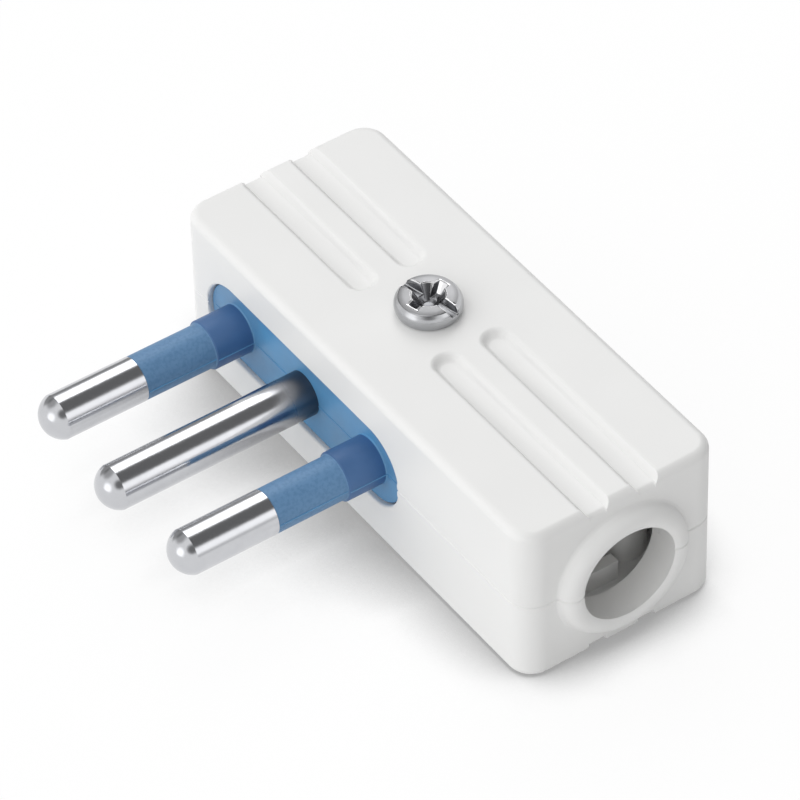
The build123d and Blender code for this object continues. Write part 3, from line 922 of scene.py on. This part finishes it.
level = mounts["earth_pin"]["pos_m"][2]
face_y = front + CARRIER_RECESS
carrier_low, carrier_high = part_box("pin_carrier")
lines = [((carrier_low.x + FLASH_MARGIN, face_y, level), (carrier_high.x - FLASH_MARGIN, face_y, level))]
for pin in ("line_pin", "neutral_pin"):
    x = mounts[pin]["pos_m"][0]
    for side in (-1, 1):
        base_x = x + side * SLEEVE_BASE_RADIUS
        sleeve_x = x + side * SLEEVE_RADIUS
        base_end = front - SLEEVE_BASE_LENGTH
        lines.append(((base_x, face_y, level), (base_x, base_end + FLASH_RADIUS, level)))
        lines.append(((sleeve_x, base_end, level), (sleeve_x, front - SLEEVE_LENGTH + FLASH_RADIUS, level)))
threads = bpy.data.meshes.new("flash_lines")
points = [point for line in lines for point in line]
threads.from_pydata(points, [(i, i + 1) for i in range(0, len(points), 2)], [])
flash = grown("carrier_flash", flash_tree, {"Radius": FLASH_RADIUS, "Material": face_blue}, threads)
settle(flash, "carrier", corners=CORNER_ANGLE)

# %% [markdown]
# ## Floor, light and background
#
# The plug lies on white paper. To the eye and in reflections the paper shows mostly its
# own white, so that no more light is needed on the plug. The soft shade round its foot and
# under the pins is a painted shadow: that white is darkened by how much of the sky the
# plug hides from each spot of paper. The world lights the plug as a bright room does: most
# from the side that the pins point to, least from behind. Metal shows its surroundings, so
# its rays meet the same white room with dark and bright patches, as black flags and
# reflectors give in a studio. One panel lamp, high on the side away from the camera, draws
# the white streak along the pins.

# %% Floor
# In metres, wide enough to fill the picture from every side
FLOOR_SIDE = 6.0
FLOOR_GAP = 0.01 * MM
# Share of the paper that shows its own white, and how white that is: a little over one,
# to make up for the share that is only lit
PAPER_GLOW = 0.88
PAPER_WHITE = 1.02
# How far away a piece still shades the paper, the shares of open sky that give the
# darkest level and white, and that darkest level
SHADOW_REACH = 10 * MM
SHADOW_SAMPLES = 16
DEEP_SHADE = 0.4
OPEN_PAPER = 0.78
DARKEST = 0.36
# A hair below the underside, so that the two never share a plane
bpy.ops.mesh.primitive_plane_add(size=FLOOR_SIDE, location=(0, 0, -FLOOR_GAP))
floor = bpy.context.object
floor.name = "floor"
paper, tree = new_material("paper_white_matte")
path = add_node(tree, "ShaderNodeLightPath").outputs
seen = add_node(tree, "ShaderNodeMath", {"operation": "MAXIMUM"},
                {0: path["Is Camera Ray"], 1: path["Is Glossy Ray"]})
seen = add_node(tree, "ShaderNodeMath", {"operation": "MAXIMUM"},
                {0: seen.outputs[0], 1: path["Is Transmission Ray"]})
share = add_node(tree, "ShaderNodeMath", {"operation": "MULTIPLY"}, {0: seen.outputs[0], 1: PAPER_GLOW})
matte = add_node(tree, "ShaderNodeBsdfDiffuse", None, {"Color": linear("#F4F4F4")})
# Painted shadow: the paper's own white is darkened where the plug hides the sky from it
near = add_node(tree, "ShaderNodeAmbientOcclusion", {"samples": SHADOW_SAMPLES}, {"Distance": SHADOW_REACH})
shade = add_node(tree, "ShaderNodeMapRange", None,
                 {"Value": near.outputs["AO"], "From Min": DEEP_SHADE, "From Max": OPEN_PAPER,
                  "To Min": DARKEST, "To Max": PAPER_WHITE})
glow = add_node(tree, "ShaderNodeEmission", None, {"Color": (1, 1, 1, 1), "Strength": shade.outputs[0]})
both = add_node(tree, "ShaderNodeMixShader", None,
                {0: share.outputs[0], 1: matte.outputs[0], 2: glow.outputs[0]})
add_node(tree, "ShaderNodeOutputMaterial", None, {"Surface": both.outputs[0]})
floor.data.materials.append(paper)
print("floor side in metres:", FLOOR_SIDE)

# %% World
BRIGHT_SIDE = Vector((-0.32, -0.9, 0.3)).normalized()
BRIGHTEST = 1.48
# Cosine of the angle from the bright side at which the room has gone dark
DARK_FROM = -0.78
# Direction, inner and outer angle in degrees, and level of each darker or brighter patch
# that metal mirrors
PATCHES = (
    (Vector((0.21, 0.4, 0.89)), 20, 34, 0.17),
    (Vector((0.6, -0.4, 0.69)), 10, 28, 0.2),
    (Vector((-0.62, -0.38, 0.69)), 10, 30, 0.45),
    (Vector((-0.93, -0.1, 0.3)), 12, 30, 0.35),
    (Vector((-0.9, 0.3, 0.12)), 8, 22, 0.35),
    (Vector((0.79, 0.4, 0.46)), 6, 20, 1.5),
    (Vector((0.91, 0.4, -0.05)), 8, 22, 0.75),
    (Vector((0.0, -0.97, 0.25)), 9, 24, 1.8))
world = bpy.data.worlds.new("studio")
bpy.context.scene.world = world
world.use_nodes = True
tree = world.node_tree
tree.nodes.clear()
toward = add_node(tree, "ShaderNodeTexCoord").outputs["Generated"]
bright = add_node(tree, "ShaderNodeVectorMath", {"operation": "DOT_PRODUCT"}, {0: toward, 1: BRIGHT_SIDE})
wash = add_node(tree, "ShaderNodeMapRange", None,
                {"Value": bright.outputs["Value"], "From Min": DARK_FROM, "From Max": 1.0,
                 "To Min": 0.0, "To Max": BRIGHTEST})
panel = None
for direction, core, edge, level in PATCHES:
    gap = add_node(tree, "ShaderNodeVectorMath", {"operation": "DOT_PRODUCT"},
                   {0: toward, 1: direction.normalized()})
    shade = add_node(tree, "ShaderNodeMapRange", {"interpolation_type": "SMOOTHSTEP"},
                     {"Value": gap.outputs["Value"], "From Min": math.cos(math.radians(edge)),
                      "From Max": math.cos(math.radians(core)), "To Min": 1.0, "To Max": level}).outputs[0]
    if panel is None:
        panel = shade
    else:
        panel = add_node(tree, "ShaderNodeMath", {"operation": "MULTIPLY"}, {0: panel, 1: shade}).outputs[0]
path = add_node(tree, "ShaderNodeLightPath").outputs
mirrored = add_node(tree, "ShaderNodeMath", {"operation": "MAXIMUM"},
                    {0: path["Is Glossy Ray"], 1: path["Is Transmission Ray"]})
room = add_node(tree, "ShaderNodeBackground", None, {"Color": (1, 1, 1, 1), "Strength": wash.outputs[0]})
panels = add_node(tree, "ShaderNodeBackground", None, {"Color": (1, 1, 1, 1), "Strength": panel})
plain = add_node(tree, "ShaderNodeBackground", None, {"Color": (1, 1, 1, 1), "Strength": 1.0})
pick = add_node(tree, "ShaderNodeMixShader", None,
                {0: mirrored.outputs[0], 1: room.outputs[0], 2: panels.outputs[0]})
pick = add_node(tree, "ShaderNodeMixShader", None,
                {0: path["Is Camera Ray"], 1: pick.outputs[0], 2: plain.outputs[0]})
add_node(tree, "ShaderNodeOutputWorld", None, {"Surface": pick.outputs[0]})
print("bright side towards:", [round(v, 2) for v in BRIGHT_SIDE])

# %% Lamp
LAMP_SIDE = Vector((-0.59, 0.42, 0.7)).normalized()
# Distance and size of the panel in metres
LAMP_DISTANCE = 1.0
LAMP_WIDTH = 0.4
LAMP_HEIGHT = 0.72
LAMP_WATTS = 1.6
lamp_data = bpy.data.lights.new("panel_light", "AREA")
lamp_data.shape = "RECTANGLE"
lamp_data.size = LAMP_WIDTH
lamp_data.size_y = LAMP_HEIGHT
lamp_data.energy = LAMP_WATTS
lamp = bpy.data.objects.new("panel_light", lamp_data)
lamp.location = LAMP_SIDE * LAMP_DISTANCE
lamp.rotation_euler = LAMP_SIDE.to_track_quat("Z", "Y").to_euler()
bpy.context.scene.collection.objects.link(lamp)
print("lamp at", [round(v, 2) for v in lamp.location])

# %% [markdown]
# ## Camera
#
# A long lens looks down at the corner between the cord end and the pins, tilted by a
# degree and a half. Its place was found by fitting the edges of the housing and the pins,
# whose usual sizes are known, to the picture.

# %% Camera
AZIMUTH = math.radians(56.07)
ELEVATION = math.radians(44.06)
ROLL = math.radians(-1.52)
DISTANCE = 494.7 * MM
LENS_MM = 270
SENSOR_MM = 36
AIM = Vector((-5.39, -0.85, 3.5)) * MM
back = Vector((math.sin(AZIMUTH) * math.cos(ELEVATION), -math.cos(AZIMUTH) * math.cos(ELEVATION),
               math.sin(ELEVATION)))
camera_data = bpy.data.cameras.new("photo_camera")
camera_data.lens = LENS_MM
camera_data.sensor_width = SENSOR_MM
camera_data.sensor_fit = "HORIZONTAL"
camera = bpy.data.objects.new("photo_camera", camera_data)
camera.location = AIM + back * DISTANCE
camera.rotation_euler = (back.to_track_quat("Z", "Y") @ Quaternion((0, 0, 1), ROLL)).to_euler()
bpy.context.scene.collection.objects.link(camera)
bpy.context.scene.camera = camera
bpy.context.scene.view_settings.view_transform = "Standard"
print("camera at", [round(v, 3) for v in camera.location])
